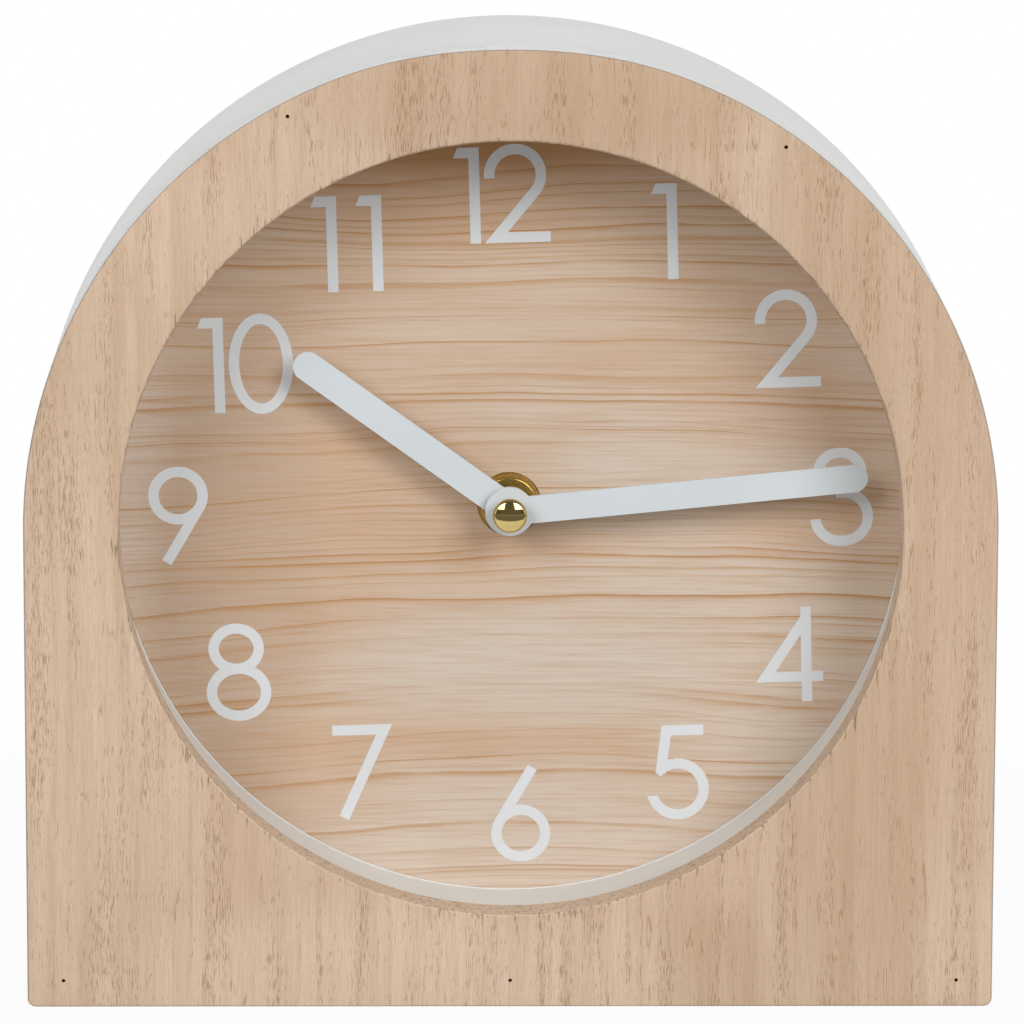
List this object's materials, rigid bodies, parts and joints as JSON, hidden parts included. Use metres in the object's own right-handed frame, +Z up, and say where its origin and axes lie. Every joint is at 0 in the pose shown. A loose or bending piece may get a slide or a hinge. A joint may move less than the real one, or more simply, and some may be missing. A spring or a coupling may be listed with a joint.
{
  "type": "table clock",
  "caption": "Arch-shaped free-standing table clock: wooden face panel on a white case, deep round dial, two straight hands and a battery quartz movement.",
  "frame": {"origin": "middle of the base, at half the case's depth", "axes": "+Z up, the dial faces -Y, +X to the right as the dial is read"},
  "size_m": [0.2, 0.06, 0.2],
  "materials": {
    "face_wood": "oiled, fine vertical grain",
    "white_paint": "white satin paint on wood",
    "brad_steel": "dull",
    "dial_wood": "matt, horizontal grain",
    "white_metal": "white satin paint",
    "polished_brass": "polished",
    "black_rubber": "matt",
    "black_plastic": "moulded, satin",
    "white_plastic": "moulded",
    "magnet": "dull",
    "soft_iron": "stamped",
    "copper_wire": "enamelled winding",
    "board_laminate": "satin",
    "crystal_can": "bright",
    "contact_metal": "plated spring sheet",
    "cell_jacket": "printed sleeve, plain"
  },
  "bodies": {
    "case": {"face_panel": "face_wood", "case_body": "white_paint", "face_brads": "brad_steel", "dial_board": "dial_wood", "rubber_washer": "black_rubber", "plain_washer": "polished_brass", "ring_nut": "polished_brass", "threaded_bush": "polished_brass", "movement_case": "black_plastic", "movement_cover": "black_plastic", "stator": "soft_iron", "coil_core": "soft_iron", "coil_bobbin": "black_plastic", "coil_winding": "copper_wire", "circuit_board": "board_laminate", "quartz_crystal": "crystal_can", "timing_chip": "black_plastic", "positive_contact": "contact_metal", "negative_contact": "contact_metal"},
    "minute": {"minute_pipe": "polished_brass", "minute_hand": "white_metal", "cap_nut": "polished_brass"},
    "hour": {"hour_wheel": "white_plastic", "hour_hand": "white_metal"},
    "motion": {"motion_wheel": "white_plastic"},
    "setting": {"setting_gear": "white_plastic", "setting_knob": "black_plastic"},
    "rotor": {"rotor": "white_plastic", "rotor_magnet": "magnet"},
    "fifth": {"fifth_wheel": "white_plastic"},
    "second": {"second_wheel": "white_plastic"},
    "third": {"third_wheel": "white_plastic"},
    "centre": {"centre_wheel": "white_plastic"},
    "battery": {"battery": "cell_jacket"}
  },
  "joints": [
    {"name": "minute_turn", "type": "hinge", "parent": "case", "child": "minute", "pos_m": [0, 0, 0.1], "axis": [0, 1, 0], "continuous": true},
    {"name": "hour_turn", "type": "hinge", "parent": "case", "child": "hour", "pos_m": [0, 0, 0.1], "axis": [0, 1, 0], "continuous": true},
    {"name": "motion_turn", "type": "hinge", "parent": "case", "child": "motion", "pos_m": [0, 0, 0.108], "axis": [0, 1, 0], "continuous": true},
    {"name": "setting_turn", "type": "hinge", "parent": "case", "child": "setting", "pos_m": [0, 0, 0.1172], "axis": [0, 1, 0], "continuous": true},
    {"name": "rotor_turn", "type": "hinge", "parent": "case", "child": "rotor", "pos_m": [-0.01546, 0, 0.11161], "axis": [0, 1, 0], "continuous": true},
    {"name": "fifth_turn", "type": "hinge", "parent": "case", "child": "fifth", "pos_m": [-0.00909, 0, 0.10525], "axis": [0, 1, 0], "continuous": true},
    {"name": "second_turn", "type": "hinge", "parent": "case", "child": "second", "pos_m": [0, 0, 0.1], "axis": [0, 1, 0], "continuous": true},
    {"name": "third_turn", "type": "hinge", "parent": "case", "child": "third", "pos_m": [0.00885, 0, 0.10619], "axis": [0, 1, 0], "continuous": true},
    {"name": "centre_turn", "type": "hinge", "parent": "case", "child": "centre", "pos_m": [0, 0, 0.1], "axis": [0, 1, 0], "continuous": true},
    {"name": "battery_slide", "type": "slide", "parent": "case", "child": "battery", "axis": [0, 1, 0], "range_m": [0, 0.02]}
  ],
  "couplings": [
    {"joint": "hour_turn", "follows": "minute_turn", "ratio": 0.083333},
    {"joint": "motion_turn", "follows": "minute_turn", "ratio": -0.33333},
    {"joint": "setting_turn", "follows": "minute_turn", "ratio": 0.625},
    {"joint": "fifth_turn", "follows": "rotor_turn", "ratio": -0.2},
    {"joint": "second_turn", "follows": "rotor_turn", "ratio": 0.033333},
    {"joint": "third_turn", "follows": "rotor_turn", "ratio": -0.0041667},
    {"joint": "centre_turn", "follows": "rotor_turn", "ratio": 0.00055556}
  ]
}
